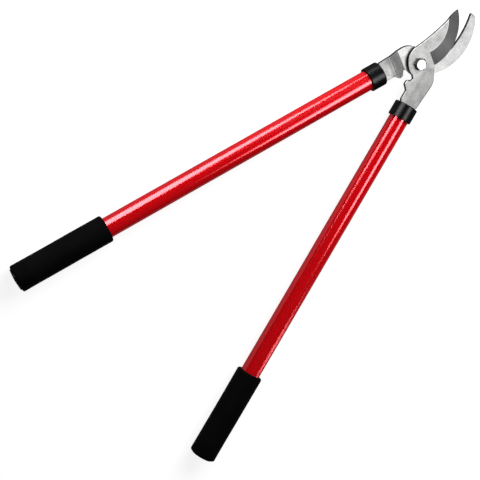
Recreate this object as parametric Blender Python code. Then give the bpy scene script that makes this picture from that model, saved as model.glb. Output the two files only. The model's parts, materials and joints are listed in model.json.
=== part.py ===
"""Bypass lopper, lying flat with its jaws part open.

Lengths are in metres and +Z is up. The grips point along -Y and the blades
along +Y. Each half of the tool is drawn in its own handle frame: the pivot
axis is at x = y = 0, the handle's tube runs along -Y beside it, and z = 0 is
the middle plane of the tubes. Outlines of the plates are drawn with x growing
towards the handle's own tube, and the hook's half is the mirror image.
"""
import math

import bmesh
import bpy
from mathutils import Vector

# How the two halves lie
OPENING_DEG = 32.5
HANDLE_OFFSET = 0.0147
HEAD_REACH = 0.0518
FIT = 0.0003

# Tubes, collars, grips and end caps
TUBE_DIAMETER = 0.0254
TUBE_WALL = 0.0012
BARE_TUBE = 0.3733
COLLAR_LENGTH = 0.0192
COLLAR_WALL = 0.0024
COLLAR_FRONT = 0.0020
COLLAR_ROUND = 0.0014
GRIP_LENGTH = 0.1224
GRIP_WALL = 0.0042
GRIP_ROUND = 0.0024
CAP_LIP = 0.0011
CAP_FLANGE = 0.0010
CAP_DOME = 0.0012
CAP_PLUG = 0.0150
CAP_SKIRT = 0.0016
CAP_RIBS = 2
CAP_BARB = 0.0006

# Tang, its liners and its cross pin
TANG_DEPTH = 0.0450
PIN_DIAMETER = 0.0050

# Neck and stop lug, shared by both plates
PLATE = 0.0040
RIM = 0.0003
SHOULDER = 0.0023
FLARE = 0.0030
FLARE_DROP = 0.0110
FLARE_ROUND = 0.0200
LUG_DROP = 0.0282
LUG_FACE = 0.0056
LUG_ANGLE_DEG = 8.0
LUG_ROOT = 0.0060
NOTCH_DEPTH = 0.0014
CHEEK_RADIUS = 0.0230
CHEEK_X = 0.0045
CHEEK_Y = 0.0055

# Cutting blade
BLADE_NECK_SHIFT = 0.0006
EDGE_RADIUS = 0.0578
EDGE_BELLY = 0.0297
EDGE_BELLY_Y = 0.0405
EDGE_THICKNESS = 0.0003
BLADE_HEEL_Y = 0.0085
BLADE_TIP_Y = 0.0846
BLADE_BACK = (0.0036, 0.0655)
BLADE_TIP_BOW = 0.0012
BLADE_BACK_BOW = -0.0016
BEVEL_AT_HEEL = 0.0196
BEVEL_AT_TIP = 0.0160

# Hook
HOOK_RADIUS = 0.0669
HOOK_BELLY = 0.0239
HOOK_BELLY_Y = 0.0337
HOOK_NOSE = (-0.0240, 0.0915)
HOOK_NOSE_WIDTH = 0.0074
HOOK_JAW_RADIUS = 0.1117
HOOK_JAW_X = 0.0116
HOOK_JAW_Y = 0.0094
HOOK_THROAT_RADIUS = 0.0300
HOOK_THROAT_DEG = 22.0
HOOK_CREST = (-0.0071, -0.0119)
HOOK_CREST_RADIUS = 0.0220
JOGGLE_TOP = 0.0194
JOGGLE_FOOT = 0.0345
JOGGLE_SOFT = 0.0060

# Pivot bolt, washer and lock nut
BOLT_DIAMETER = 0.0095
BOLT_HEAD = 0.0050
BOLT_END = 0.0010
BOLT_TURN_DEG = 30.0
WASHER = 0.0016
WASHER_LIP = 0.0005
NUT_HEX = 0.0048
NUT_NYLON = 0.0010
NYLON_WALL = 0.0007
NUT_RIM = 0.0008
NUT_STEP = 0.0003

# Sizes that follow from the ones above
TUBE_RADIUS = TUBE_DIAMETER / 2
BORE_RADIUS = TUBE_RADIUS - TUBE_WALL
TUBE_START = HEAD_REACH + COLLAR_FRONT + FIT
COLLAR_END = HEAD_REACH + COLLAR_LENGTH
GRIP_START = COLLAR_END + BARE_TUBE
TUBE_END = GRIP_START + GRIP_LENGTH
GRIP_RADIUS = TUBE_RADIUS + FIT + GRIP_WALL
COLLAR_BORE = TUBE_RADIUS + FIT
COLLAR_RADIUS = COLLAR_BORE + COLLAR_WALL
PLUG_RADIUS = BORE_RADIUS - FIT
TANG_HALF = math.sqrt(PLUG_RADIUS ** 2 - (PLATE / 2 + FIT) ** 2) - FIT
TANG_END = HEAD_REACH + TANG_DEPTH
NECK_HALF = TANG_HALF + SHOULDER
PIN_RADIUS = PIN_DIAMETER / 2
PIN_PLACE = (TUBE_START + COLLAR_END) / 2
HOOK_DROP = PLATE + FIT
BOLT_RADIUS = BOLT_DIAMETER / 2
BOLT_HOLE = BOLT_RADIUS + FIT
NYLON_RADIUS = BOLT_HOLE + NYLON_WALL
NUT_GROOVE = NYLON_RADIUS + FIT
NUT_COLLAR = NUT_GROOVE + NUT_RIM
HEX_FLAT = NUT_COLLAR + NUT_STEP
HEX_CORNER = HEX_FLAT / math.cos(math.radians(30))
PLATE_TOP = PLATE / 2
HOOK_TOP = PLATE_TOP - HOOK_DROP
HOOK_BOTTOM = HOOK_TOP - PLATE

ROUND = 48
ROUND_SMALL = 32


def clear_scene():
    for obj in list(bpy.data.objects):
        bpy.data.objects.remove(obj, do_unlink=True)


# Materials

def finish(name, colour, roughness, metallic=0.0):
    material = bpy.data.materials.new(name)
    material.use_nodes = True
    shader = material.node_tree.nodes["Principled BSDF"]
    shader.inputs["Base Color"].default_value = (*colour, 1.0)
    shader.inputs["Roughness"].default_value = roughness
    shader.inputs["Metallic"].default_value = metallic
    return material


def red_paint(name):
    return finish(name, (0.62, 0.010, 0.012), 0.25)


def black_foam(name):
    return finish(name, (0.010, 0.010, 0.010), 0.95)


def black_plastic(name):
    return finish(name, (0.018, 0.018, 0.019), 0.40)


def plate_steel(name):
    return finish(name, (0.60, 0.60, 0.59), 0.36, 1.0)


def zinc_steel(name):
    return finish(name, (0.70, 0.71, 0.72), 0.28, 1.0)


def nylon(name):
    return finish(name, (0.72, 0.71, 0.66), 0.50)


# Outlines in the plane

def arc(centre, radius, start, end, steps):
    """Points along a circle from one angle to another, in degrees."""
    points = []
    for i in range(steps + 1):
        angle = math.radians(start + (end - start) * i / steps)
        points.append((centre[0] + radius * math.cos(angle), centre[1] + radius * math.sin(angle)))
    return points


def bow(start, end, rise, steps):
    """Points between two ends of a shallow curve that stands out to the right by rise."""
    a = Vector(start)
    b = Vector(end)
    outward = Vector((b.y - a.y, a.x - b.x)).normalized()
    points = []
    for i in range(1, steps):
        t = i / steps
        points.append(tuple(a.lerp(b, t) + outward * (rise * 4 * t * (1 - t))))
    return points


def rounded(corners, steps=6):
    """Closed outline through (x, y) points, with an arc at each (x, y, radius) corner."""
    loop = []
    for i, corner in enumerate(corners):
        here = Vector(corner[:2])
        if len(corner) == 2:
            loop.append(tuple(here))
            continue
        back = (Vector(corners[i - 1][:2]) - here).normalized()
        ahead = (Vector(corners[(i + 1) % len(corners)][:2]) - here).normalized()
        half = back.angle(ahead) / 2
        middle = (back + ahead).normalized()
        centre = here + middle * (corner[2] / math.sin(half))
        first = here + back * (corner[2] / math.tan(half)) - centre
        last = here + ahead * (corner[2] / math.tan(half)) - centre
        for k in range(steps + 1):
            spoke = first.lerp(last, k / steps).normalized() * corner[2]
            loop.append(tuple(centre + spoke))
    return loop


def neck_and_tang(cheek_top_deg, shift=0.0):
    """Half outline from the cheek down round the tang, with the neck shifted off its middle."""
    inner = HANDLE_OFFSET - NECK_HALF + shift
    outer = HANDLE_OFFSET + NECK_HALF + shift
    shoulder_y = -HEAD_REACH + FIT + SHOULDER
    lug_low = LUG_DROP + LUG_FACE / 2
    lug_high = LUG_DROP - LUG_FACE / 2
    lean = math.tan(math.radians(LUG_ANGLE_DEG))
    notch_y = -lug_high + (lug_high - CHEEK_RADIUS + CHEEK_Y) * 0.55
    cheek = arc((CHEEK_X, CHEEK_Y), CHEEK_RADIUS, cheek_top_deg, 256.0, 14)
    return cheek + [
        (inner + NOTCH_DEPTH, notch_y, 0.0022),
        (-lug_high * lean, -lug_high, 0.0020),
        (-lug_low * lean, -lug_low, 0.0022),
        (inner, -lug_low - LUG_ROOT, 0.0030),
        (inner, shoulder_y, 0.0022),
        (HANDLE_OFFSET - TANG_HALF, -HEAD_REACH + FIT),
        (HANDLE_OFFSET - TANG_HALF, -TANG_END, 0.0015),
        (HANDLE_OFFSET + TANG_HALF, -TANG_END, 0.0015),
        (HANDLE_OFFSET + TANG_HALF, -HEAD_REACH + FIT),
        (outer, shoulder_y, 0.0030),
    ]


def edge_centre():
    return (EDGE_BELLY - EDGE_RADIUS, EDGE_BELLY_Y)


def edge_angle(y):
    return math.degrees(math.asin((y - EDGE_BELLY_Y) / EDGE_RADIUS))


def blade_outline():
    """Cutting edge from heel to tip, the back, then the neck and tang."""
    edge = arc(edge_centre(), EDGE_RADIUS, edge_angle(BLADE_HEEL_Y), edge_angle(BLADE_TIP_Y), 26)
    tip = edge[-1]
    neck = neck_and_tang(161.0, BLADE_NECK_SHIFT)
    flare = (neck[-1][0] + FLARE, -FLARE_DROP, FLARE_ROUND)
    back = bow(tip, BLADE_BACK, BLADE_TIP_BOW, 6) + [BLADE_BACK]
    back += bow(BLADE_BACK, neck[0], BLADE_BACK_BOW, 12)
    return rounded(edge[:-1] + [(*tip, 0.0006)] + back + neck + [flare])


def touch_deg(centre, radius, point):
    """Direction from a circle's centre to where a line from an outside point touches it."""
    span = Vector(point) - Vector(centre)
    return math.degrees(math.atan2(span.y, span.x) + math.acos(radius / span.length))


def hook_outline():
    """Neck and tang mirrored, the outer curve, the nose, the jaw and the crest."""
    neck = [(-corner[0], *corner[1:]) for corner in reversed(neck_and_tang(181.0))]
    outer_centre = (HOOK_BELLY - HOOK_RADIUS, HOOK_BELLY_Y)
    outer = arc(outer_centre, HOOK_RADIUS, -14.5, 60.0, 22)
    jaw_centre = Vector((HOOK_JAW_X - HOOK_JAW_RADIUS, HOOK_JAW_Y))
    jaw = arc(jaw_centre, HOOK_JAW_RADIUS, 45.2, HOOK_THROAT_DEG, 10)
    turn = math.radians(HOOK_THROAT_DEG)
    inward = Vector((math.cos(turn), math.sin(turn))) * (HOOK_JAW_RADIUS - HOOK_THROAT_RADIUS)
    throat = arc(jaw_centre + inward, HOOK_THROAT_RADIUS, HOOK_THROAT_DEG, -42.0, 16)[1:]
    touch = touch_deg(HOOK_CREST, HOOK_CREST_RADIUS, throat[-1])
    crest = arc(HOOK_CREST, HOOK_CREST_RADIUS, touch, 182.0, 14)
    nose = Vector(HOOK_NOSE)
    crown = nose + Vector((HOOK_NOSE_WIDTH * 0.87, HOOK_NOSE_WIDTH * 0.49))
    return rounded(neck + outer + [(*crown, 0.0080), (*nose, 0.0012)] + jaw + throat + crest)


# Solids

def slab(outline, bottom, top):
    """Outline extruded upwards."""
    bm = bmesh.new()
    face = bm.faces.new([bm.verts.new((x, y, bottom)) for x, y in outline])
    grown = bmesh.ops.extrude_face_region(bm, geom=[face])
    raised = [item for item in grown["geom"] if isinstance(item, bmesh.types.BMVert)]
    bmesh.ops.translate(bm, verts=raised, vec=(0.0, 0.0, top - bottom))
    return bm


def ease_rims(bm, sharp_points):
    """Break the rim edges of a slab, all but those between the first sharp_points points."""
    bm.verts.index_update()
    size = len(bm.verts) // 2
    rims = []
    for edge in bm.edges:
        a, b = sorted(vert.index % size for vert in edge.verts)
        level = edge.verts[0].co.z == edge.verts[1].co.z
        if level and not b < sharp_points:
            rims.append(edge)
    bmesh.ops.bevel(bm, geom=rims, offset=RIM, offset_type="OFFSET", segments=1, profile=0.5,
                    affect="EDGES", material=-1)


def turned(profile, steps=ROUND):
    """Solid turned about Z from (height, radius) points; a closed ring if it misses the axis."""
    bm = bmesh.new()
    verts = [bm.verts.new((radius, 0.0, height)) for height, radius in profile]
    ends = list(zip(verts, verts[1:]))
    if profile[0][1] > 0.0:
        ends.append((verts[-1], verts[0]))
    edges = [bm.edges.new(pair) for pair in ends]
    bmesh.ops.spin(bm, geom=verts + edges, cent=(0, 0, 0), axis=(0, 0, 1), angle=2 * math.pi,
                   steps=steps, use_merge=True)
    bmesh.ops.remove_doubles(bm, verts=bm.verts, dist=0.000001)
    return bm


def add_object(name, bm, parent, material=None):
    bmesh.ops.recalc_face_normals(bm, faces=bm.faces)
    mesh = bpy.data.meshes.new(name)
    bm.to_mesh(mesh)
    bm.free()
    mesh.shade_smooth()
    mesh.set_sharp_from_angle(angle=math.radians(30))
    if material:
        mesh.materials.append(material)
    obj = bpy.data.objects.new(name, mesh)
    bpy.context.collection.objects.link(obj)
    obj.parent = parent
    return obj


def cut(obj, bm, operation="DIFFERENCE"):
    """Cut obj with a hidden solid drawn in the same frame."""
    cutter = add_object(f"{obj.name}_cut_{len(obj.modifiers)}", bm, obj.parent)
    cutter.hide_render = True
    cutter.display_type = "WIRE"
    boolean = obj.modifiers.new(cutter.name, "BOOLEAN")
    boolean.operation = operation
    boolean.object = cutter
    return cutter


def drill(obj, radius, x, y, low, high):
    """Round hole parallel to the pivot axis."""
    bm = turned([(low, 0.0), (low, radius), (high, radius), (high, 0.0)])
    cutter = cut(obj, bm)
    cutter.location = (x, y, 0.0)


# Plates

def grind_bevel(blade):
    """Wedge taken off the blade's top along the edge, wider at the heel than at the tip."""
    centre = Vector(edge_centre())
    first = edge_angle(BLADE_HEEL_Y)
    last = edge_angle(BLADE_TIP_Y) + 6.0
    past = 0.0040
    above = 0.0010
    steps = 28
    bm = bmesh.new()
    sections = []
    for i in range(steps + 1):
        angle = math.radians(first + (last - first) * i / steps)
        spoke = Vector((math.cos(angle), math.sin(angle)))
        width = BEVEL_AT_HEEL + (BEVEL_AT_TIP - BEVEL_AT_HEEL) * i / steps
        fall = (PLATE - EDGE_THICKNESS) / width
        inside = centre + spoke * (EDGE_RADIUS - width - above / fall)
        outside = centre + spoke * (EDGE_RADIUS + past)
        low = -PLATE_TOP + EDGE_THICKNESS - past * fall
        sections.append([
            bm.verts.new((*inside, PLATE_TOP + above)),
            bm.verts.new((*outside, low)),
            bm.verts.new((*outside, PLATE_TOP + above)),
        ])
    for one, two in zip(sections, sections[1:]):
        for k in range(3):
            bm.faces.new((one[k], one[(k + 1) % 3], two[(k + 1) % 3], two[k]))
    bm.faces.new(sections[0])
    bm.faces.new(sections[-1])
    cut(blade, bm)


def joggle_height(y):
    """How far the hook's plate has dropped below its tang at y."""
    run = -JOGGLE_TOP + JOGGLE_FOOT
    slope = HOOK_DROP / (run - JOGGLE_SOFT / 2)
    along = y + JOGGLE_FOOT
    if along <= 0.0:
        return 0.0
    if along >= run:
        return HOOK_DROP
    if along <= JOGGLE_SOFT:
        return slope * along ** 2 / (2 * JOGGLE_SOFT)
    return slope * (along - JOGGLE_SOFT / 2)


def bend_joggle(bm):
    """Two bends in the hook's neck: a soft one near the tang, a crisp one near the boss."""
    bends = [-JOGGLE_TOP] + [-JOGGLE_FOOT + JOGGLE_SOFT * i / 4 for i in range(5)]
    for y in bends:
        bmesh.ops.bisect_plane(bm, geom=bm.verts[:] + bm.edges[:] + bm.faces[:],
                               plane_co=(0.0, y, 0.0), plane_no=(0.0, 1.0, 0.0), dist=0.000001)
    for vert in bm.verts:
        vert.co.z -= joggle_height(vert.co.y)


def drill_plate(plate, side, low, high):
    drill(plate, BOLT_HOLE, 0.0, 0.0, low, high)
    drill(plate, PIN_RADIUS + FIT, side * HANDLE_OFFSET, -PIN_PLACE, -PLATE, PLATE)


def cutting_blade(frame):
    bm = slab(blade_outline(), -PLATE_TOP, PLATE_TOP)
    ease_rims(bm, 27)
    blade = add_object("cutting_blade", bm, frame, plate_steel("blade_steel"))
    grind_bevel(blade)
    drill_plate(blade, 1, -PLATE, PLATE)
    return blade


def hook_blade(frame):
    bm = slab(hook_outline(), -PLATE_TOP, PLATE_TOP)
    ease_rims(bm, 0)
    bend_joggle(bm)
    hook = add_object("hook_blade", bm, frame, plate_steel("hook_steel"))
    drill_plate(hook, -1, HOOK_BOTTOM - PLATE, HOOK_TOP + PLATE_TOP)
    return hook


# Pivot hardware

def hexagon(low, high):
    """Six-sided prism with one flat facing each handle frame's X."""
    corners = [(HEX_CORNER * math.cos(math.radians(60 * i + 30)),
                HEX_CORNER * math.sin(math.radians(60 * i + 30))) for i in range(6)]
    return slab(corners, low, high)


def pivot_bolt(frame):
    """Hexagon-head bolt, head on the blade."""
    seat = PLATE_TOP + FIT
    crown = seat + BOLT_HEAD
    end = nut_bottom() - BOLT_END
    drop = (HEX_CORNER - HEX_FLAT) * math.tan(math.radians(30)) + 0.0002
    profile = [
        (crown, 0.0),
        (crown, HEX_FLAT - 0.0003),
        (crown - drop, HEX_CORNER + 0.0001),
        (seat, HEX_CORNER + 0.0001),
        (seat, BOLT_RADIUS),
        (end + 0.0008, BOLT_RADIUS),
        (end, BOLT_RADIUS - 0.0008),
        (end, 0.0),
    ]
    bolt = add_object("pivot_bolt", turned(profile, ROUND_SMALL), frame, zinc_steel("bolt_steel"))
    cutter = cut(bolt, hexagon(end - PLATE, crown + PLATE), "INTERSECT")
    cutter.rotation_euler = (0.0, 0.0, math.radians(BOLT_TURN_DEG))
    return bolt


def washer_top():
    return HOOK_BOTTOM - FIT


def pivot_washer(frame):
    low = washer_top() - WASHER
    outer = HEX_CORNER + WASHER_LIP
    profile = [(low, BOLT_HOLE), (low, outer), (washer_top(), outer), (washer_top(), BOLT_HOLE)]
    return add_object("pivot_washer", turned(profile, ROUND_SMALL), frame, zinc_steel("washer_steel"))


def nut_top():
    return washer_top() - WASHER - FIT


def nut_bottom():
    return nut_top() - NUT_HEX - NUT_NYLON - 2 * FIT - NUT_RIM


def pivot_lock_nut(frame):
    """Lock nut: a hexagon, then a round collar closed over the nylon ring."""
    top = nut_top()
    shelf = top - NUT_HEX
    drop = (HEX_CORNER - HEX_FLAT) * math.tan(math.radians(30)) + 0.0002
    lip = nut_bottom() + NUT_RIM
    profile = [
        (top, BOLT_HOLE),
        (top, HEX_FLAT - 0.0002),
        (top - drop, HEX_CORNER + 0.0001),
        (shelf + drop, HEX_CORNER + 0.0001),
        (shelf, NUT_COLLAR + 0.0002),
        (lip, NUT_COLLAR),
        (nut_bottom(), NUT_COLLAR - NUT_RIM / 2),
        (nut_bottom(), BOLT_HOLE + NYLON_WALL / 2),
        (lip, BOLT_HOLE + NYLON_WALL / 2),
        (lip, NUT_GROOVE),
        (shelf, NUT_GROOVE),
        (shelf, BOLT_HOLE),
    ]
    nut = add_object("pivot_lock_nut", turned(profile, ROUND_SMALL), frame, zinc_steel("nut_steel"))
    cut(nut, hexagon(nut_bottom() - PLATE, top + PLATE), "INTERSECT")
    return nut


def nut_nylon_ring(frame):
    top = nut_top() - NUT_HEX - FIT
    low = top - NUT_NYLON
    profile = [(low, BOLT_HOLE), (low, NYLON_RADIUS), (top, NYLON_RADIUS), (top, BOLT_HOLE)]
    return add_object("nut_nylon_ring", turned(profile, ROUND_SMALL), frame, nylon("nut_nylon"))


# Handles; heights in these profiles are distances from the pivot towards the grip

def on_handle(obj, side):
    """Lay a turned piece along the handle's tube axis."""
    obj.location = (side * HANDLE_OFFSET, 0.0, 0.0)
    obj.rotation_euler = (math.radians(90), 0.0, 0.0)
    return obj


def quarter(height, radius, size, start, steps=3):
    """Profile points of a rounded corner, centred at (height, radius)."""
    points = []
    for i in range(steps + 1):
        angle = math.radians(start + 90 * i / steps)
        points.append((height + size * math.cos(angle), radius + size * math.sin(angle)))
    return points


def pin_hole(obj, side):
    drill(obj, PIN_RADIUS + FIT, side * HANDLE_OFFSET, -PIN_PLACE, -GRIP_RADIUS, GRIP_RADIUS)


def handle_tube(name, frame, side):
    profile = [(TUBE_START, BORE_RADIUS), (TUBE_START, TUBE_RADIUS),
               (TUBE_END, TUBE_RADIUS), (TUBE_END, BORE_RADIUS)]
    tube = add_object(f"{name}_tube", turned(profile), frame, red_paint(f"{name}_paint"))
    on_handle(tube, side)
    pin_hole(tube, side)
    return tube


def handle_collar(name, frame, side):
    """Moulded ferrule: a skirt over the tube and a front wall with a slot for the tang."""
    size = COLLAR_ROUND
    profile = [(HEAD_REACH, 0.0)]
    profile += reversed(quarter(HEAD_REACH + size, COLLAR_RADIUS - size, size, 90))
    profile += [(COLLAR_END - RIM, COLLAR_RADIUS), (COLLAR_END, COLLAR_RADIUS - RIM),
                (COLLAR_END, COLLAR_BORE), (HEAD_REACH + COLLAR_FRONT, COLLAR_BORE),
                (HEAD_REACH + COLLAR_FRONT, 0.0)]
    collar = add_object(f"{name}_collar", turned(profile), frame, black_plastic(f"{name}_ferrule"))
    on_handle(collar, side)
    x = side * HANDLE_OFFSET
    half = TANG_HALF + FIT
    slot = [(x - half, -TUBE_START), (x + half, -TUBE_START),
            (x + half, -HEAD_REACH + PLATE), (x - half, -HEAD_REACH + PLATE)]
    cut(collar, slab(slot, -PLATE_TOP - FIT, PLATE_TOP + FIT))
    return collar


def tang_liner(name, frame, side, level):
    """Half-round packing between the tang's flat and the tube's bore."""
    flat = PLATE_TOP + FIT
    rise = math.degrees(math.asin(flat / PLUG_RADIUS))
    section = arc((0.0, 0.0), PLUG_RADIUS, rise, 180 - rise, 20)
    section = [(x, level * y) for x, y in section]
    word = "upper" if level > 0 else "lower"
    bm = slab(section, TUBE_START, TANG_END)
    liner = add_object(f"{name}_tang_liner_{word}", bm, frame, nylon(f"{name}_liner_{word}"))
    on_handle(liner, side)
    pin_hole(liner, side)
    return liner


def tang_pin(name, frame, side):
    """Cross pin cut off just under the tube's surface and kept in by the collar."""
    half = math.sqrt(TUBE_RADIUS ** 2 - PIN_RADIUS ** 2) - RIM
    ease = PIN_RADIUS - RIM
    profile = [(-half, 0.0), (-half, ease), (-half + RIM, PIN_RADIUS),
               (half - RIM, PIN_RADIUS), (half, ease), (half, 0.0)]
    pin = add_object(f"{name}_tang_pin", turned(profile, 24), frame, zinc_steel(f"{name}_pin_steel"))
    pin.location = (side * HANDLE_OFFSET, -PIN_PLACE, 0.0)
    return pin


def handle_grip(name, frame, side):
    """Foam sleeve with rounded ends."""
    size = GRIP_ROUND
    bore = TUBE_RADIUS + FIT
    profile = [(GRIP_START, bore)]
    profile += reversed(quarter(GRIP_START + size, GRIP_RADIUS - size, size, 90))
    profile += reversed(quarter(TUBE_END - size, GRIP_RADIUS - size, size, 0))
    profile += [(TUBE_END, bore)]
    grip = add_object(f"{name}_grip", turned(profile), frame, black_foam(f"{name}_foam"))
    return on_handle(grip, side)


def end_cap(name, frame, side):
    """Domed cap with a ribbed plug that fits the tube's bore."""
    face = TUBE_END + FIT
    rim = TUBE_RADIUS + CAP_LIP
    brow = face + CAP_FLANGE
    inner = PLUG_RADIUS - CAP_SKIRT
    profile = [(brow + CAP_DOME, 0.0)]
    for i in range(1, 5):
        share = i / 5
        profile.append((brow + CAP_DOME * (1 - share ** 2), rim * share))
    profile += [(brow, rim), (face, rim), (face, PLUG_RADIUS)]
    pitch = CAP_PLUG / (CAP_RIBS + 1)
    for i in range(1, CAP_RIBS + 1):
        at = face - pitch * i
        profile += [(at + 0.0008, PLUG_RADIUS - CAP_BARB), (at, PLUG_RADIUS)]
    profile += [(face - CAP_PLUG, PLUG_RADIUS - CAP_BARB), (face - CAP_PLUG, inner),
                (face - CAP_FLANGE, inner), (face - CAP_FLANGE, 0.0)]
    cap = add_object(f"{name}_end_cap", turned(profile), frame, black_plastic(f"{name}_cap_plastic"))
    return on_handle(cap, side)


def handle(name, frame, side):
    """Everything behind one plate's neck; side is +1 for the blade and -1 for the hook."""
    handle_tube(name, frame, side)
    handle_collar(name, frame, side)
    tang_liner(name, frame, side, 1)
    tang_liner(name, frame, side, -1)
    tang_pin(name, frame, side)
    handle_grip(name, frame, side)
    end_cap(name, frame, side)


# Assembly

def add_frame(name, parent, turn_deg):
    frame = bpy.data.objects.new(name, None)
    frame.empty_display_size = 0.05
    frame.rotation_euler = (0.0, 0.0, math.radians(turn_deg))
    bpy.context.collection.objects.link(frame)
    frame.parent = parent
    return frame


def centre_on_ground(root):
    """Move the whole tool so that its box stands on z = 0, centred on the origin."""
    bpy.context.view_layer.update()
    corners = [obj.matrix_world @ vert.co for obj in bpy.data.objects
               if obj.type == "MESH" and not obj.hide_render for vert in obj.data.vertices]
    low = [min(corner[k] for corner in corners) for k in range(3)]
    high = [max(corner[k] for corner in corners) for k in range(3)]
    root.location = (-(low[0] + high[0]) / 2, -(low[1] + high[1]) / 2, -low[2])


def main():
    clear_scene()
    root = add_frame("pivot", None, 0.0)
    hook_frame = add_frame("hook_half", root, -OPENING_DEG / 2)
    blade_frame = add_frame("blade_half", root, OPENING_DEG / 2)
    hook_blade(hook_frame)
    pivot_bolt(hook_frame)
    pivot_washer(hook_frame)
    pivot_lock_nut(hook_frame)
    nut_nylon_ring(hook_frame)
    handle("hook", hook_frame, -1)
    cutting_blade(blade_frame)
    handle("blade", blade_frame, 1)
    centre_on_ground(root)


main()
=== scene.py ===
# %% [markdown]
# # A bypass lopper with long tube handles
#
# A bypass lopper cuts branches the way scissors cut paper: a curved blade passes one side of a
# hook. Two long tubes give the leverage, and foam sleeves at their ends give the grip.
# The solid model already holds every sub-part in its place. This script dresses it: it models
# the surfaces that need more detail than a solid has, and gives each one a finish.

# %% Load the solid model
import json
import math

import bmesh
import bpy
from mathutils import Matrix, Vector, noise


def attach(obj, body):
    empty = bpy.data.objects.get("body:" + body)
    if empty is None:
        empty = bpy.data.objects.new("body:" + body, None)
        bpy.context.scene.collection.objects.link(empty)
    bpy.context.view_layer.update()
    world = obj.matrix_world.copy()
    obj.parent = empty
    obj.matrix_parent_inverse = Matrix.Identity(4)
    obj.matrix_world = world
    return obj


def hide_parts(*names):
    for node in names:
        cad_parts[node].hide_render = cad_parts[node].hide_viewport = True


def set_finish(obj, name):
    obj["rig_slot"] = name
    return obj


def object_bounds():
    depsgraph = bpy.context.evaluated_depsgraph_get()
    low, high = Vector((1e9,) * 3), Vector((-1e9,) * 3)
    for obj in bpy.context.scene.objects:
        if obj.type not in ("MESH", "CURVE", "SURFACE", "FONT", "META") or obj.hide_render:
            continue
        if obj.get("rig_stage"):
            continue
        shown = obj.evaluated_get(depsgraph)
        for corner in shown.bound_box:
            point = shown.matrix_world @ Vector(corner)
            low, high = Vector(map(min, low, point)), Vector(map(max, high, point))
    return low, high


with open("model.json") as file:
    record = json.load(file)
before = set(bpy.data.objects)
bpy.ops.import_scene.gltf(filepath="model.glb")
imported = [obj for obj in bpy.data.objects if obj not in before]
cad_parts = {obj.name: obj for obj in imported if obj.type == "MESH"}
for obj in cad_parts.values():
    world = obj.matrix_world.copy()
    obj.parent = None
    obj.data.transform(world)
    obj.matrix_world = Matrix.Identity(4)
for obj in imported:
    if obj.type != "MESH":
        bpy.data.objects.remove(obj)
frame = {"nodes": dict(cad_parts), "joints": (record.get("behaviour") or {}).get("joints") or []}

cad_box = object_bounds()
pivot = Vector(frame["joints"][0]["pos_m"])
print("solid model", [round(high - low, 4) for low, high in zip(*cad_box)], "m, pivot at", pivot)

# %% [markdown]
# ## Sizes that the pieces share
#
# Both halves are drawn the same way, each in its own handle frame: the pivot is at (0, 0), the
# tube runs towards -Y and lies a little to one side of the pivot. side is -1 for the hook's
# half and +1 for the blade's. The pieces could be drawn straight where they lie, but then every
# number would be turned by 16 degrees and hard to read. One matrix per side lays a piece where
# the tool has it, turned by half of the angle that the handles stand open.

# %% Handle frames
OPENING_DEG = 32.5
HANDLE_OFFSET = 0.0147
FIT = 0.0003  # every piece stands this far clear of its neighbours
SIDES = {"hook": -1, "blade": 1}


def handle_frame(half):
    """Matrix from a half's handle frame to the tool, with the tube's axis as its Y axis."""
    side = SIDES[half]
    turn = Matrix.Rotation(math.radians(side * OPENING_DEG / 2), 4, "Z")
    return Matrix.Translation(pivot) @ turn @ Matrix.Translation((side * HANDLE_OFFSET, 0, 0))


for half in SIDES:
    print(half, "tube axis starts at", handle_frame(half).translation)

# %% [markdown]
# ## The camera
#
# The picture was taken from above and behind the hook's handle with a long lens, so the tubes
# stay almost parallel-sided. The camera could be placed by eye, but a degree of error shows all
# along a handle. So its place and tilt come from a fit to the straight edges of both handles,
# and no shift is needed.

# %% Camera
CAMERA_PLACE = (-0.7292, -0.2213, 1.5678)
CAMERA_TILT_DEG = (-15.507, -20.410, 48.668)
SENSOR_MM = 36.0
LENS_MM = 104.17

camera = bpy.data.objects.new("camera", bpy.data.cameras.new("camera"))
bpy.context.scene.collection.objects.link(camera)
bpy.context.scene.camera = camera
camera.location = CAMERA_PLACE
camera.rotation_euler = [math.radians(angle) for angle in CAMERA_TILT_DEG]
camera.data.sensor_width = SENSOR_MM
camera.data.lens = LENS_MM
bpy.context.scene.view_settings.view_transform = "Standard"
print("camera stands", round((camera.location - pivot).length, 3), "m from the pivot bolt")

# %% [markdown]
# ## Floor and sky
#
# The tool lies on a plain white sweep. The floor keeps its own shading, so a shadow can fall on
# it, and adds light of its own for rays that come from the camera or by way of a mirror-like
# surface, so that it reads as white there. Seen from below it is clear.
# The sky is an even dim grey. It could be brighter and the lamps weaker, but then each shadow
# and each dark edge of the steel would fill with light. Neither floor nor sky is sampled as a
# lamp, because they are no help in finding the bright boxes and only add grain to the picture.

# %% Floor and sky
FLOOR_HALF_WIDTH = 8.0
FLOOR_LEVEL = -0.0002  # just under the tool, so that no faces coincide
FLOOR_GREY = 0.34
FLOOR_GLOW = 0.86
SKY_GREY = 0.10


def grey(value):
    return (value, value, value, 1)


def set_inputs(tree, node, **inputs):
    """Set a node's sockets to values, or link them to other sockets.

    A socket goes by its name with _ for a space, or by its number after a _.
    """
    for name, value in inputs.items():
        key = int(name[1:]) if name[0] == "_" else name.replace("_", " ")
        if isinstance(value, bpy.types.NodeSocket):
            tree.links.new(value, node.inputs[key])
        else:
            node.inputs[key].default_value = value


def add_node(tree, kind, **inputs):
    node = tree.nodes.new(kind)
    set_inputs(tree, node, **inputs)
    return node


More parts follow.
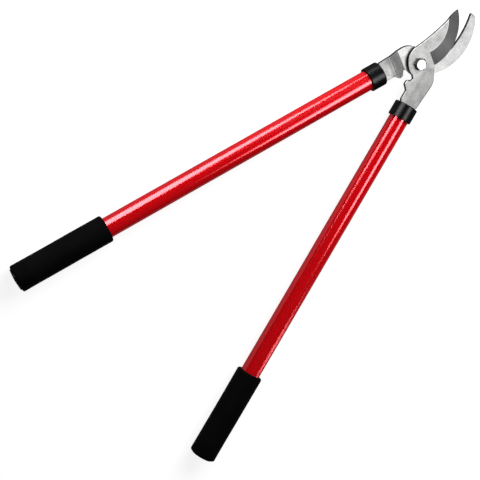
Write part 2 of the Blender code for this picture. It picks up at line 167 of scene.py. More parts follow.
def white_sweep():
    material = bpy.data.materials.new("white_sweep")
    material.use_nodes = True
    tree = material.node_tree
    tree.nodes.clear()
    rays = add_node(tree, "ShaderNodeLightPath").outputs
    seen = add_node(tree, "ShaderNodeMath", _0=rays["Is Camera Ray"], _1=rays["Is Glossy Ray"])
    seen = add_node(tree, "ShaderNodeMath", _0=seen.outputs[0], _1=rays["Is Transmission Ray"])
    seen.use_clamp = True
    glow = add_node(tree, "ShaderNodeMath", _0=seen.outputs[0], _1=FLOOR_GLOW)
    glow.operation = "MULTIPLY"
    paper = add_node(tree, "ShaderNodeBsdfDiffuse", Color=grey(FLOOR_GREY))
    light = add_node(tree, "ShaderNodeEmission", Strength=glow.outputs[0])
    lit = add_node(tree, "ShaderNodeAddShader", _0=paper.outputs[0], _1=light.outputs[0])
    clear = add_node(tree, "ShaderNodeBsdfTransparent")
    below = add_node(tree, "ShaderNodeNewGeometry").outputs["Backfacing"]
    shown = add_node(tree, "ShaderNodeMixShader", _0=below, _1=lit.outputs[0],
                     _2=clear.outputs[0])
    add_node(tree, "ShaderNodeOutputMaterial", Surface=shown.outputs[0])
    material.cycles.emission_sampling = "NONE"
    return material


bm = bmesh.new()
bmesh.ops.create_grid(bm, x_segments=1, y_segments=1, size=FLOOR_HALF_WIDTH)
bmesh.ops.translate(bm, verts=bm.verts, vec=(0, 0, FLOOR_LEVEL))
floor = bpy.data.objects.new("floor", bpy.data.meshes.new("floor"))
bm.to_mesh(floor.data)
bm.free()
floor.data.materials.append(white_sweep())
bpy.context.scene.collection.objects.link(floor)
floor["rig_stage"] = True

world = bpy.data.worlds.new("sky")
world.use_nodes = True
set_inputs(world.node_tree, world.node_tree.nodes["Background"], Color=grey(SKY_GREY))
world.cycles.sampling_method = "NONE"
bpy.context.scene.world = world
print("floor", floor.dimensions[:2], "m")

# %% [markdown]
# ## Soft boxes
#
# Each lamp is a flat soft box. One large key box lights the tool and casts the soft shadow. The
# others are there only to be mirrored: a bright sky could give as much light, but a photographer
# sets boxes so that each tube carries clean pale bands and the steel has something bright to
# show. The three band boxes are for the paint and plastic. The steel box stands where the flats
# of the plates mirror it, and the rim box where their rounded left rims do.
#
# Each line gives a box's place, the point that it faces, its width and length, how bright its
# cloth is, and its turn about its own axis in degrees.

# %% Soft boxes
def soft_box(name, place, aim, width, length, brightness, turn=0.0):
    lamp = bpy.data.lights.new(name, "AREA")
    lamp.shape = "RECTANGLE"
    lamp.size = width
    lamp.size_y = length
    lamp.energy = brightness * width * length * math.pi  # so that the cloth has that brightness
    box = bpy.data.objects.new(name, lamp)
    box.location = place
    facing = (Vector(place) - Vector(aim)).to_track_quat("Z", "Y").to_matrix()
    box.rotation_euler = (facing @ Matrix.Rotation(math.radians(turn), 3, "Z")).to_euler()
    bpy.context.scene.collection.objects.link(box)
    print(name, round(lamp.energy, 1), "W")
    return box


key_box = soft_box("key_box", (-0.38, 0.965, 0.67), (0, 0, 0), 1.2, 1.2, 5.5)
key_box.visible_glossy = False
band_boxes = [
    soft_box("overhead_band", (0.252, 0.322, 0.738), (0.252, 0.322, 0), 0.285, 0.505, 22.4, 41.4),
    soft_box("side_band", (-1.089, 0.278, 0.378), (-0.025, -0.01, -0.055), 0.74, 0.93, 23.9, -40.0),
    soft_box("low_band", (1.10, 0.015, 0.35), (0.1, 0, 0), 0.1, 0.65, 9.1),
]
steel_boxes = [
    soft_box("steel_box", (0.75, 0.70, 1.5), (0.05, 0.25, 0), 1.5, 1.5, 1.36),
    soft_box("rim_box", (-0.62, 0.53, 1.0), (0, 0.22, 0), 0.9, 1.2, 8.0),
]
for box in (*band_boxes, *steel_boxes):
    box.visible_diffuse = False
    box.visible_camera = False

# %% [markdown]
# ## Tools for finishing a piece
#
# A turned piece is drawn as a half section and spun about the tube's axis. A screw modifier
# could do the same, but a mesh that is made at once can be reshaped point by point afterwards.
# A piece that is already right in the solid starts as a copy of it. Doubled points are merged in
# every mesh, and a turned piece has its faces pointed outwards. Every finished mesh is then put
# on its body and given its finish's name, and the solid that it stands for is hidden.

# %% Turning and finishing
MERGED_WITHIN = 0.000002
FLAT_WITHIN_DEG = 0.4
pieces = []


def section(points, closed=False):
    """Half section in a handle frame from (distance from the pivot, radius) points."""
    bm = bmesh.new()
    verts = [bm.verts.new((radius, -distance, 0)) for distance, radius in points]
    for one, two in zip(verts, verts[1:]):
        bm.edges.new((one, two))
    if closed:
        bm.edges.new((verts[-1], verts[0]))
    return bm, verts


def soften(bm, verts, size, segments=5):
    """Round some corners of a half section."""
    bmesh.ops.bevel(bm, geom=verts, offset=size, segments=segments, profile=0.5,
                    affect="VERTICES", material=-1)


def number_by_place(parts, place):
    """Number points or faces by where they lie: a spin numbers them differently each time."""
    ranks = {part: rank for rank, part in enumerate(sorted(parts, key=lambda p: place(p)[:]))}
    parts.sort(key=ranks.get)


def spin_section(bm, steps=96):
    bmesh.ops.spin(bm, geom=bm.verts[:] + bm.edges[:], cent=(0, 0, 0), axis=(0, 1, 0),
                   angle=2 * math.pi, steps=steps, use_merge=True)
    bmesh.ops.remove_doubles(bm, verts=bm.verts, dist=MERGED_WITHIN)
    bmesh.ops.recalc_face_normals(bm, faces=bm.faces)
    number_by_place(bm.verts, lambda vert: vert.co)
    number_by_place(bm.faces, lambda face: face.calc_center_median())


def merged_copy(node):
    """A solid's triangles joined into one skin, with its flat faces made whole."""
    bm = bmesh.new()
    bm.from_mesh(frame["nodes"][node].data)
    bmesh.ops.remove_doubles(bm, verts=bm.verts, dist=MERGED_WITHIN)
    bmesh.ops.dissolve_limit(bm, angle_limit=math.radians(FLAT_WITHIN_DEG), verts=bm.verts,
                             edges=bm.edges)
    return bm


def break_corners(bm, corner_deg, size):
    """Bevel each edge where the faces turn by more than an angle."""
    corners = [edge for edge in bm.edges if edge.calc_face_angle(0) > math.radians(corner_deg)]
    bmesh.ops.bevel(bm, geom=corners, offset=size, segments=2, profile=0.5, affect="EDGES",
                    material=-1, clamp_overlap=True)


def finish(bm, name, half, slot, materials, node, place=None, sharp_deg=38):
    """Make the mesh an object, lay it in the tool and put it on its body in the node's stead.

    Each corner's normal is weighted by the areas of its faces. Without that, the small faces of
    a rounded end would tilt the shading of the long ones beside them.
    """
    mesh = bpy.data.meshes.new(name)
    bm.to_mesh(mesh)
    bm.free()
    if place:
        mesh.transform(place)
    if "custom_normal" in mesh.attributes:  # a copy's old normals would overrule the new ones
        mesh.attributes.remove(mesh.attributes["custom_normal"])
    if sharp_deg:
        mesh.shade_smooth()
        mesh.set_sharp_from_angle(angle=math.radians(sharp_deg))
    for material in materials:
        mesh.materials.append(material)
    piece = bpy.data.objects.new(name, mesh)
    bpy.context.scene.collection.objects.link(piece)
    weighted = piece.modifiers.new("weighted_normals", "WEIGHTED_NORMAL")
    weighted.keep_sharp = True
    weighted.weight = 100
    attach(piece, f"{half}_handle")
    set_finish(piece, slot)
    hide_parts(node)
    pieces.append(piece)
    print(name, len(mesh.polygons), "faces")
    return piece


print("points within", MERGED_WITHIN * 1000, "mm are made one")

# %% [markdown]
# ## Tools for a finish
#
# Every finish is built from noise in the object's own coordinates, turned so that one axis runs
# along the tube. Pictures could be laid on instead, but noise has no seams and holds at any
# distance. Scales are given in grains to the metre, which makes them easy to check against a
# ruler.
#
# Paint and plastic get their gloss from a second shader mixed over the first. The usual gloss
# grows towards grazing angles and fades out slowly, and would lay a pale haze along each side
# of a tube. This one mirrors the same share of the light all over, and its bands end soon.

# %% Pattern helpers
def new_finish(name, half=None):
    """A material and its coordinates: the handle frame's, or the object's own."""
    material = bpy.data.materials.new(name)
    material.use_nodes = True
    tree = material.node_tree
    coords = add_node(tree, "ShaderNodeTexCoord").outputs["Object"]
    if half:
        side = SIDES[half]
        turn = Matrix.Rotation(math.radians(-side * OPENING_DEG / 2), 3, "Z")
        moved = turn @ pivot
        place = (-moved.x - side * HANDLE_OFFSET, -moved.y, -moved.z)
        coords = add_node(tree, "ShaderNodeMapping", Vector=coords, Location=place,
                          Rotation=turn.to_euler()).outputs[0]
    return material, tree, tree.nodes["Principled BSDF"], coords


def plus(tree, one, two):
    return add_node(tree, "ShaderNodeMath", _0=one, _1=two).outputs[0]


def times(tree, one, two):
    """Multiply two greys, colours or places."""
    node = add_node(tree, "ShaderNodeVectorMath", _0=one, _1=two)
    node.operation = "MULTIPLY"
    return node.outputs[0]


def grain(tree, coords, per_metre, detail=2.0, stretch=(1, 1, 1), rough=0.5):
    """Noise with so many grains to the metre, stretched by making an axis coarser."""
    return add_node(tree, "ShaderNodeTexNoise", Vector=times(tree, coords, stretch),
                    Scale=per_metre, Detail=detail, Roughness=rough).outputs[0]


def spread(tree, value, low, high, out_low=0.0, out_high=1.0):
    """Stretch a pattern's range, and clamp what falls outside it."""
    return add_node(tree, "ShaderNodeMapRange", _0=value, _1=low, _2=high,
                    _3=out_low, _4=out_high).outputs[0]


def tint(tree, value, first, second):
    """Mix two colours by a pattern."""
    mix = tree.nodes.new("ShaderNodeMix")
    mix.data_type = "RGBA"
    set_inputs(tree, mix, _0=value, _6=(*first, 1), _7=(*second, 1))
    return mix.outputs[2]


def shade_along(tree, coords, stops, ragged=0.0):
    """Grey that changes along the handle frame's Y axis; a stop is (mm from the pivot, grey)."""
    along = add_node(tree, "ShaderNodeSeparateXYZ", Vector=coords).outputs["Y"]
    if ragged:
        drift = spread(tree, grain(tree, coords, 160, 3), 0.2, 0.8, -ragged, ragged)
        along = plus(tree, along, drift)
    first, last = stops[0][0], stops[-1][0]
    ramp = add_node(tree, "ShaderNodeValToRGB",
                    Fac=spread(tree, along, first / 1000, last / 1000))
    elements = ramp.color_ramp.elements
    elements[0].color = grey(stops[0][1])
    elements[1].color = grey(stops[-1][1])
    for place, value in stops[1:-1]:
        elements.new((place - first) / (last - first)).color = grey(value)
    return ramp.outputs[0]


def relief(tree, height, depth, strength=1.0, under=None):
    """Bump of a depth in metres, laid over another bump if there is one."""
    below = {"Normal": under} if under else {}
    return add_node(tree, "ShaderNodeBump", Height=height, Distance=depth, Strength=strength,
                    **below).outputs[0]


def even_gloss(tree, shader, share, colour, rough, normal):
    """Lay a gloss over a shader that mirrors the same share of the light all over."""
    set_inputs(tree, shader, Specular_IOR_Level=0.0)
    gloss = add_node(tree, "ShaderNodeBsdfAnisotropic", Color=(*colour, 1), Roughness=rough,
                     Normal=normal)
    gloss.distribution = "BECKMANN"
    both = add_node(tree, "ShaderNodeMixShader", _0=share, _1=shader.outputs[0],
                    _2=gloss.outputs[0])
    set_inputs(tree, tree.nodes["Material Output"], Surface=both.outputs[0])


print("a grain of 400 to the metre is", 1000 / 400, "mm wide")

# %% [markdown]
# ## The red tubes
#
# Each handle is a length of one inch steel tube with a gloss red coat. It could be a cylinder,
# but a real tube has a wall, a bore and broken edges at its cut ends, so it is spun from a half
# section whose four corners are rounded.
#
# The coat is a deep red with a clear red-tinted lacquer over it, flowed out to a very slightly
# wavy skin. The two layers are two shaders, mixed, because the bands in the photo are pink and
# orange, not white: the lacquer tints what it mirrors. Its share is the same all over, so the
# tube stays red where it turns away.

# %% Tube
TUBE_RADIUS = 0.0127
TUBE_WALL = 0.0012
TUBE_START = 0.0541
TUBE_END = 0.5667
TUBE_CORNER = 0.0003
COAT_REDS = ((0.74, 0.0005, 0.004), (0.68, 0.0004, 0.003))
LACQUER_SHARE = 0.10
LACQUER_TINT = (1.0, 0.22, 0.25)


def tube_coat(half):
    material, tree, shader, coords = new_finish(f"{half}_red_coat", half)
    cloudy = grain(tree, coords, 22, 3, (1, 0.3, 1))
    colour = tint(tree, spread(tree, cloudy, 0.35, 0.65), *COAT_REDS)
    rubbed = grain(tree, coords, 900, 2, (1, 0.03, 1))
    rough = spread(tree, rubbed, 0.3, 0.75, 0.21, 0.235)
    waves = relief(tree, grain(tree, coords, 200, 1), 0.00004, 0.008)
    set_inputs(tree, shader, Base_Color=colour, Roughness=rough, Normal=waves)
    even_gloss(tree, shader, LACQUER_SHARE, LACQUER_TINT, rough, waves)
    return material


for half in SIDES:
    bm, corners = section([(TUBE_START, TUBE_RADIUS - TUBE_WALL), (TUBE_START, TUBE_RADIUS),
                           (TUBE_END, TUBE_RADIUS), (TUBE_END, TUBE_RADIUS - TUBE_WALL)], True)
    soften(bm, corners, TUBE_CORNER, 2)
    spin_section(bm)
    finish(bm, f"{half}_red_tube", half, "red_paint", [tube_coat(half)], f"{half}_tube",
           handle_frame(half))

# %% [markdown]
# ## The foam sleeves
#
# A closed-cell foam sleeve is pushed over each tube's end. A thicker tube could stand for it, but
# foam is cut, not moulded: its ends are rounded over and swell a little, its sides are never
# quite straight, and its skin shows fine open pores. So the half section gets extra points along
# its length, and after the spin each outer point is pushed in or out by slow noise.

# %% Foam sleeve
GRIP_START = 0.4443
GRIP_RADIUS = 0.0172
GRIP_CORNER = 0.0024
SLEEVE_CUTS = 40
WAVE_HEIGHT = 0.00014
WAVES_ACROSS = 60  # to the metre
WAVES_ALONG = 28
END_SWELL = 0.00018
SWELL_REACH = 0.006
SKIN_SINK = 0.00004  # keeps the waves' crests near the solid's surface
OTHER_WAVES = 9  # so that the two sleeves differ
FOAM_BLACKS = ((0.0008, 0.0008, 0.0009), (0.0022, 0.0022, 0.0024))


def foam_skin(half):
    material, tree, shader, coords = new_finish(f"{half}_black_foam", half)
    dusty = grain(tree, coords, 45, 3)
    cells = add_node(tree, "ShaderNodeTexVoronoi", Vector=coords, Scale=1500.0)
    pores = spread(tree, cells.outputs[0], 0.05, 0.55)
    skin = relief(tree, pores, 0.00012, 0.5, relief(tree, dusty, 0.0004, 0.25))
    set_inputs(tree, shader, Base_Color=tint(tree, spread(tree, dusty, 0.35, 0.7), *FOAM_BLACKS),
               Roughness=spread(tree, pores, 0, 1, 0.98, 0.86), Normal=skin,
               Specular_IOR_Level=0.021)
    return material


def roughen_sleeve(bm, side):
    for vert in bm.verts:
        axis = Vector((0, vert.co.y, 0))
        spoke = vert.co - axis
        if spoke.length > TUBE_RADIUS + 0.001:  # leaves the bore as it is
            wave = noise.noise(Vector((vert.co.x * WAVES_ACROSS, vert.co.y * WAVES_ALONG,
                                       vert.co.z * WAVES_ACROSS + side * OTHER_WAVES)))
            from_end = min(-vert.co.y - GRIP_START, TUBE_END + vert.co.y)
            swell = END_SWELL * math.exp(-from_end / SWELL_REACH) - SKIN_SINK
            vert.co = axis + spoke * (1 + (wave * WAVE_HEIGHT + swell) / spoke.length)


for half, side in SIDES.items():
    bm, corners = section([(GRIP_START, TUBE_RADIUS + FIT), (GRIP_START, GRIP_RADIUS),
                           (TUBE_END, GRIP_RADIUS), (TUBE_END, TUBE_RADIUS + FIT)], True)
    soften(bm, corners[1:3], GRIP_CORNER)
    long_edges = [edge for edge in bm.edges if edge.calc_length() > 0.05]
    bmesh.ops.subdivide_edges(bm, edges=long_edges, cuts=SLEEVE_CUTS)
    spin_section(bm, 72)
    roughen_sleeve(bm, side)
    grip = finish(bm, f"{half}_foam_sleeve", half, "black_foam", [foam_skin(half)], f"{half}_grip",
                  handle_frame(half), 60)

# %% [markdown]
# ## The end caps
#
# A moulded plug closes each tube's end. It could be a flat disc, but what shows is a shallow
# dome with a rounded rim, a little smaller than the foam around it, so it is turned like the
# tube. The plug itself is inside the bore, and is drawn as a plain skirt.

# %% End cap
CAP_RADIUS = 0.0138
CAP_RISE, HALFWAY_RISE, RIM_RISE = 0.0022, 0.0019, 0.0010
DOME_ROUNDING = 0.0065
RIM_ROUNDING = 0.0004
PLUG_RADIUS, PLUG_END_RADIUS = 0.0112, 0.0108
PLUG_BORE = 0.0094
PLUG_LENGTH = 0.015
PLUG_FLOOR = 0.001
PLASTIC_BLACK = 0.004
PLASTIC_SHARE = 0.0070


def moulded_plastic(name, half):
    material, tree, shader, coords = new_finish(f"{half}_{name}", half)
    patchy = grain(tree, coords, 70, 3)
    colour = tint(tree, spread(tree, patchy, 0.3, 0.7), (PLASTIC_BLACK,) * 3,
                  (PLASTIC_BLACK * 1.5,) * 3)
    spark = grain(tree, coords, 2400, 2)
    skin = relief(tree, spark, 0.00003, 0.35, relief(tree, patchy, 0.0003, 0.06))
    rough = spread(tree, grain(tree, coords, 300, 3), 0.3, 0.7, 0.30, 0.38)
    set_inputs(tree, shader, Base_Color=colour, Roughness=rough, Normal=skin)
    even_gloss(tree, shader, PLASTIC_SHARE, (1.0, 1.0, 1.0), rough, skin)
    return material


for half in SIDES:
    seat = TUBE_END + FIT
    bm, corners = section([(seat + CAP_RISE, 0), (seat + HALFWAY_RISE, CAP_RADIUS * 0.5),
                           (seat + RIM_RISE, CAP_RADIUS), (seat, CAP_RADIUS),
                           (seat, PLUG_RADIUS), (seat - PLUG_LENGTH, PLUG_END_RADIUS),
                           (seat - PLUG_LENGTH, PLUG_BORE), (seat - PLUG_FLOOR, PLUG_BORE),
                           (seat - PLUG_FLOOR, 0)])
    soften(bm, corners[1:2], DOME_ROUNDING, 8)
    soften(bm, [v for v in bm.verts if abs(v.co.x - CAP_RADIUS) < 1e-6], RIM_ROUNDING, 3)
    spin_section(bm)
    finish(bm, f"{half}_domed_cap", half, "black_plastic", [moulded_plastic("cap_plastic", half)],
           f"{half}_end_cap", handle_frame(half))

# %% [markdown]
# ## The collars
#
# A moulded ferrule covers the joint of tube and tang, and hides the cross pin. It could be turned
# like the tube, but its front wall has a slot for the steel, which the solid already has. So it
# starts as a merged copy of the solid, and only its hard corners are broken with a bevel.

# %% Collar
COLLAR_BEVEL = 0.0002

for half in SIDES:
    bm = merged_copy(f"{half}_collar")
    break_corners(bm, 60, COLLAR_BEVEL)
    finish(bm, f"{half}_ferrule", half, "black_plastic",
           [moulded_plastic("ferrule_plastic", half)], f"{half}_collar")

# %% [markdown]
# ## Steel finishes
#
# Both plates are blanked from 4 mm sheet and blasted, which leaves a cloudy, speckled satin
# grey. One finish could serve for all of it, but the grey of each plate changes along it. So the
# grey is multiplied by a slow shade along the handle frame's Y axis. On the slope of the hook's
# joggle this is painted shade: the slope mirrors dark surroundings, and its colour is made the
# darkest place. The blade is darker round 14 mm from the pivot and on one side of its neck, and
# the hook's jaw is darker than its boss. The walls round the outline are painted near black, a
# painted shade for the dark edge that the surroundings give them. A smooth rolled rim, painted
# darker than the flats, lies beside them. The blade's bevel is ground afterwards, so its scratches
# run from the back of the bevel to the edge. Its colour is painted dark, a painted reflection of
# dark surroundings.

# %% Steel materials
# BEVEL_SHADE is a painted reflection: its low greys keep the ground bevel as dark as the dark
# surroundings that it mirrors would.
BEVEL_SHADE = [(16, 0.10), (28, 0.15), (39, 0.21), (49, 0.17), (78, 0.15)]


def satin_steel(name, half, dark, light, stops=None, speck=0.14, patch=None):
    """Blasted steel. stops shade it along the plate; patch darkens one corner of it."""
    material, tree, shader, coords = new_finish(f"{half}_{name}", half)
    clouds = grain(tree, coords, 55, 3)
    blotches = grain(tree, coords, 190, 3)
    pattern = add_node(tree, "ShaderNodeMix", _0=0.3, _2=clouds, _3=blotches).outputs[0]
    pattern = spread(tree, pattern, 0.32, 0.68)
    fine = grain(tree, coords, 620, 2, rough=0.6)
    speckle = spread(tree, fine, 0.35, 0.65, 1 - speck, 1 + speck)
    colour = times(tree, tint(tree, pattern, dark, light), speckle)
    if stops:
        colour = times(tree, colour, shade_along(tree, coords, stops, 0.0012))
    if patch:
        colour = times(tree, colour, patch(tree, coords))
    blast = grain(tree, coords, 2600, 2)
    skin = relief(tree, blast, 0.00003, 0.4, relief(tree, blotches, 0.0001, 0.12))
    rough = spread(tree, pattern, 0, 1, 0.46, 0.34)
    set_inputs(tree, shader, Base_Color=colour, Roughness=rough, Normal=skin, Metallic=1.0)
    return material


def darker_neck_patch(tree, coords):
    """A darker patch on one side of the blade's neck, towards the collar."""
    parts = add_node(tree, "ShaderNodeSeparateXYZ", Vector=coords).outputs
    drift = spread(tree, grain(tree, coords, 90, 3), 0.2, 0.8, -0.003, 0.003)
    across = spread(tree, plus(tree, parts["X"], drift), -0.0075, -0.0025)
    along = spread(tree, plus(tree, parts["Y"], drift), 0.011, -0.002)
    return spread(tree, times(tree, across, along), 0, 1, 0.91, 0.61)


def ground_steel(half):
    material, tree, shader, coords = new_finish(f"{half}_ground_steel", half)
    tone = spread(tree, grain(tree, coords, 60, 3), 0.3, 0.7, 0.88, 1.12)
    lines = grain(tree, coords, 1600, 2, (0.05, 1, 1))
    # The bevel's colour is painted dark by BEVEL_SHADE, a painted reflection, not the ground
    # steel's own grey.
    set_inputs(tree, shader, Metallic=1.0,
               Base_Color=times(tree, shade_along(tree, coords, BEVEL_SHADE), tone),
               Roughness=spread(tree, lines, 0.3, 0.7, 0.28, 0.38),
               Normal=relief(tree, lines, 0.00002, 0.4))
    return material


def wall_painted_dark(half):
    """Near-black walls round the cut: a painted shade for the dark edge that surroundings give
    them.

    It isn't metallic: bare metal would mirror.
    """
    material, tree, shader, coords = new_finish(f"{half}_wall_painted_dark", half)
    tone = grain(tree, coords, 300, 3, (1, 1, 0.2))
    tear = grain(tree, coords, 900, 2, (1, 1, 0.15))
    set_inputs(tree, shader, Specular_IOR_Level=0.1,
               Base_Color=tint(tree, spread(tree, tone, 0.3, 0.7), (0.006,) * 3, (0.018,) * 3),
               Roughness=spread(tree, tone, 0.3, 0.7, 0.5, 0.65),
               Normal=relief(tree, tear, 0.00008, 0.5))
    return material


def rolled_steel(name, half, dark, light):
    """The smooth skin that a press leaves where the sheet was drawn down round the cut."""
    material, tree, shader, coords = new_finish(f"{half}_{name}", half)
    tone = grain(tree, coords, 240, 3)
    set_inputs(tree, shader, Metallic=1.0,
               Base_Color=tint(tree, spread(tree, tone, 0.3, 0.7), (dark,) * 3, (light,) * 3),
               Roughness=spread(tree, grain(tree, coords, 900, 2), 0.3, 0.7, 0.20, 0.30),
               Normal=relief(tree, tone, 0.00004, 0.2))
    return material


print("the ground bevel's greys, by mm from the pivot:", BEVEL_SHADE)

# %% [markdown]
# ## The blade and the hook
#
# Each plate could be drawn again from curves, but the outline, the bevel and the joggle are
# already right in the solid, so it is a merged copy. What a copy adds is that every face knows
# what it is: flat, slope, broken rim or sheared wall, read from the way it faces. Only the lines
# between kinds stay sharp.
#
# A blanking press also draws the sheet down a little beside the cut. So a narrow strip is inset
# all round the top, and its outer side is lowered by a fifth of a millimetre. Where the strip
# borders a slope it stays level. Beside the blade's ground bevel it gets a smoother, lighter
# finish, partly the burnished corner that grinding leaves and partly a painted highlight.
#
# Each material's place in a plate's list is the kind of face that it is for.

# %% Plates
FLAT, SLOPE, RIM, WALL, LINE, TANG = range(6)
LEAST_LEAN = ((0.9995, FLAT), (0.83, SLOPE), (0.4, RIM), (-1, WALL))  # of the normal's Z
TOP_LEAN = LEAST_LEAN[0][0]
ROLL_WIDTH = 0.0005
ROLL_DROP = 0.00022
HOOK_TANG_FROM = 0.0190
LIGHT_RIM_LEAN = 0.2  # of the normal's X
# JOGGLE_SHADE is painted shade: its dark stop at the joggle's slope stands for the dark
# surroundings that the slope mirrors.
JOGGLE_SHADE = [(-46, 0.88), (-40.5, 0.90), (-34.3, 0.31), (-31, 0.47), (-28, 0.78), (-20, 1.0)]
BLADE_SHADE = [(-50, 1.0), (8, 1.0), (14, 0.86), (26, 0.96), (80, 0.97)]
JAW_SHADE = [(-20, 1.03), (16, 1.03), (24, 0.85), (80, 0.85)]


def kind_of(face):
    return next(kind for least, kind in LEAST_LEAN if abs(face.normal.z) > least)


def repaint_rims_by_facing(bm, on_tang):
    """Repaint the rims of a plate with a pressed tang by the way that they face.

    Rims that face +X get the flat's lighter finish, a painted highlight where the light falls.
    On its tang the rims get the walls' near-black finish, a painted shade.
    """
    for face in bm.faces:
        if face.material_index == RIM and face.normal.z > 0:
            if face.normal.x > LIGHT_RIM_LEAN:
                face.material_index = FLAT
            elif on_tang(face):
                face.material_index = WALL


def roll_top(bm):
    """Draw the top's outline down a little, and mark the strip beside the ground bevel."""
    top = [face for face in bm.faces if face.normal.z > TOP_LEAN]
    strip = set(bmesh.ops.inset_region(bm, faces=top, thickness=ROLL_WIDTH, depth=0,
                                       use_even_offset=True, use_boundary=True)["faces"])
    drawn = set()
    for face in strip:
        for edge in face.edges:
            beyond = {other.material_index for other in edge.link_faces if other not in strip}
            if RIM in beyond:
                face.material_index = RIM
                drawn.update(edge.verts)
            elif SLOPE in beyond:
                face.material_index = LINE
    bmesh.ops.translate(bm, verts=list(drawn), vec=(0, 0, -ROLL_DROP))


def plate(half, node, materials, tang_from=None):
    """The node's copy; tang_from is where a pressed tang starts, measured from the pivot."""
    bm = merged_copy(node)
    back = handle_frame(half).inverted()

    def on_tang(face):
        return (back @ face.calc_center_median()).y < -tang_from

    for face in bm.faces:
        face.smooth = True
        face.material_index = kind_of(face)
    if tang_from:
        repaint_rims_by_facing(bm, on_tang)
    roll_top(bm)
    for face in bm.faces:
        if tang_from and face.material_index in (FLAT, SLOPE) and on_tang(face):
            face.material_index = TANG
    for edge in bm.edges:
        edge.smooth = len({face.material_index for face in edge.link_faces}) == 1
    finish(bm, f"{half}_plate", half, "plate_steel", materials, node, sharp_deg=None)


blade_flat = satin_steel("blasted_steel", "blade", (0.38, 0.38, 0.375), (0.64, 0.64, 0.635),
                         BLADE_SHADE, patch=darker_neck_patch)
hook_flat = satin_steel("blasted_steel", "hook", (0.68, 0.68, 0.675), (0.83, 0.83, 0.825),
                        JAW_SHADE, 0.10)
# The tang's finish is darker than the hook's flats, and JOGGLE_SHADE paints its slope darker still,
# a painted shade.
hook_tang = satin_steel("joggled_steel", "hook", (0.52, 0.52, 0.515), (0.78, 0.78, 0.775),
                        JOGGLE_SHADE, 0.2)
# Both plates' rolled rims are painted darker than their flats, a painted shade along the outline.
# The blade's strip beside its bevel is partly a burnished corner and partly a painted highlight.
plate("blade", "cutting_blade", [
    blade_flat, ground_steel("blade"), rolled_steel("rolled_rim_painted_dark", "blade", 0.13, 0.20),
    wall_painted_dark("blade"), rolled_steel("burnished_highlight_line", "blade", 0.56, 0.70), blade_flat])
plate("hook", "hook_blade", [
    hook_flat, hook_flat, rolled_steel("rolled_rim_painted_dark", "hook", 0.36, 0.48),
    wall_painted_dark("hook"), hook_flat, hook_tang], HOOK_TANG_FROM)

# %% [markdown]
# ## The pivot hardware
#
# Bolt, washer and lock nut are zinc-plated: brighter and smoother than the blasted plates. They
# could stay the solids they are, but a hexagon without a small bevel looks cut from card: only
# a broken corner catches a thin line of light. So they are merged copies with their corners
# broken. The head's flanks and most of its chamfer are painted near black, a painted shade for
# the dark surroundings that they mirror. On the side that faces +X, where the light falls, the
# chamfer is left bright zinc. Its top face is drawn in a little, which leaves more of the
# chamfer to be seen.

# %% Zinc plating
HARDWARE_BEVEL = 0.00012
CROWN_SHRINK = 0.93
HEAD_HEIGHT = 0.0055
# Faces steeper than FACED_LEAN are painted near black, a painted shade. The chamfer facing +X is
# left bright zinc, where the light falls.
FACED_LEAN = 0.998  # of the normal's Z: steeper faces of the head are black
LIT_CHAMFER_LEAN = 0.2
LIT_CHAMFER_DEG = (-62, 50)
ZINC_TONES = ((0.84, 0.845, 0.85), (0.93, 0.93, 0.94))


def zinc(name):
    material, tree, shader, coords = new_finish(f"{name}_zinc")
    tone = grain(tree, coords, 350, 3)
    set_inputs(tree, shader, Metallic=1.0,
               Base_Color=tint(tree, spread(tree, tone, 0.3, 0.7), *ZINC_TONES),
               Roughness=spread(tree, tone, 0.3, 0.7, 0.20, 0.32),
               Normal=relief(tree, grain(tree, coords, 1800, 2), 0.00002, 0.25))
    return material


# The near-black flank is a painted shade for the dark surroundings that the head's sides mirror.
def painted_shade_flank(name):
    material, tree, shader, coords = new_finish(f"{name}_painted_shade_flank")
    tone = grain(tree, coords, 500, 3)
    set_inputs(tree, shader, Specular_IOR_Level=0.15,
               Base_Color=tint(tree, spread(tree, tone, 0.3, 0.7), (0.005,) * 3, (0.03,) * 3),
               Roughness=spread(tree, tone, 0.3, 0.7, 0.4, 0.55),
               Normal=relief(tree, tone, 0.00005, 0.3))
    return material


def draw_in_crown(bm, crown):
    middle = Vector((pivot.x, pivot.y, crown))
    for vert in bm.verts:
        if vert.co.z > crown - 0.00001:
            vert.co = middle + (vert.co - middle) * CROWN_SHRINK


# Paints the flanks and chamfer dark, a painted shade, except the chamfer on the side that faces +X,
# where the light falls.
def paint_head_shade(bm, crown):
    for face in bm.faces:
        centre = face.calc_center_median() - pivot
        around = math.degrees(math.atan2(centre.y, centre.x))
        lit_chamfer = face.normal.z > LIT_CHAMFER_LEAN and LIT_CHAMFER_DEG[0] < around < LIT_CHAMFER_DEG[1]
        on_head = centre.z > crown - pivot.z - HEAD_HEIGHT
        if on_head and face.normal.z < FACED_LEAN and not lit_chamfer:
            face.material_index = 1


for node in ("pivot_bolt", "pivot_washer", "pivot_lock_nut"):
    bm = merged_copy(node)
    crown = max(vert.co.z for vert in bm.verts)
    finishes = [zinc(node)]
    if node == "pivot_bolt":
        draw_in_crown(bm, crown)
    break_corners(bm, 25, HARDWARE_BEVEL)
    if node == "pivot_bolt":
        finishes.append(painted_shade_flank(node))
        paint_head_shade(bm, crown)
    finish(bm, node.replace("pivot", "zinc"), "hook", "zinc_steel", finishes, node)

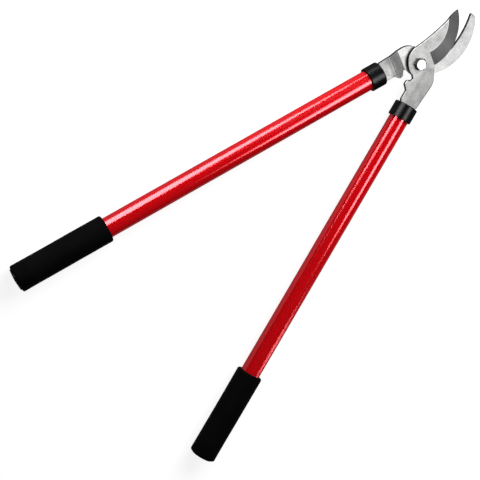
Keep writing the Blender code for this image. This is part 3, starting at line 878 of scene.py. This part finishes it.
# %% [markdown]
# ## Parts that are mostly hidden
#
# The tang liners, the cross pins and the nut's nylon ring stay as the solids they are. They
# could be left grey, but the ring shows from below, so each gets its finish.

# %% Nylon and pins
NYLON_TONES = ((0.70, 0.69, 0.63), (0.78, 0.77, 0.72))


def nylon(name, half):
    material, tree, shader, coords = new_finish(f"{name}_nylon", half)
    tone = grain(tree, coords, 200, 3)
    set_inputs(tree, shader, Base_Color=tint(tree, spread(tree, tone, 0.3, 0.7), *NYLON_TONES),
               Roughness=spread(tree, tone, 0, 1, 0.42, 0.55),
               Normal=relief(tree, grain(tree, coords, 1500, 2), 0.00003, 0.3))
    return material


def dress(node, material):
    for slot in frame["nodes"][node].material_slots:
        slot.material = material
    print(node, "gets", material.name)


dress("nut_nylon_ring", nylon("ring", "hook"))
for half in SIDES:
    for level in ("upper", "lower"):
        dress(f"{half}_tang_liner_{level}", nylon(f"{half}_{level}", half))
    dress(f"{half}_tang_pin", zinc(f"{half}_pin"))

# %% [markdown]
# ## Lamps and what they reach
#
# Every lamp could reach every piece, but then the bands meant for the tubes would cross the
# steel as well. So two band boxes are linked to everything that isn't steel, and the low one to
# the blade's handle only, since the hook's tube shows two bands and the blade's shows three. The
# steel box reaches all steel. The rim box leaves out the hook's plate, whose rims are dull.

# %% Light linking
def link_lamp(box, wanted):
    group = bpy.data.collections.new(f"{box.name}_reach")
    for piece in wanted:
        group.objects.link(piece)
    box.light_linking.receiver_collection = group
    print(box.name, "reaches", len(wanted), "pieces")


steel = [p for p in pieces if p["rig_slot"] in ("plate_steel", "zinc_steel")]
others = [p for p in pieces if p not in steel]
for box in band_boxes[:2]:
    link_lamp(box, others)
link_lamp(band_boxes[2], [p for p in others if p.name.startswith("blade")])
link_lamp(steel_boxes[0], steel)
link_lamp(steel_boxes[1], [p for p in steel if p.name != "hook_plate"])

# %% [markdown]
# ## Sizes
#
# The dressed part should fill the same box as the solid model, so both boxes are measured, and
# the furthest that a corner moves between them is printed.

# %% Sizes
visual_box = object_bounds()
shift = max((dressed - solid).length for solid, dressed in zip(cad_box, visual_box))
print("a corner of the box moves by at most", round(shift * 1000, 3), "mm")
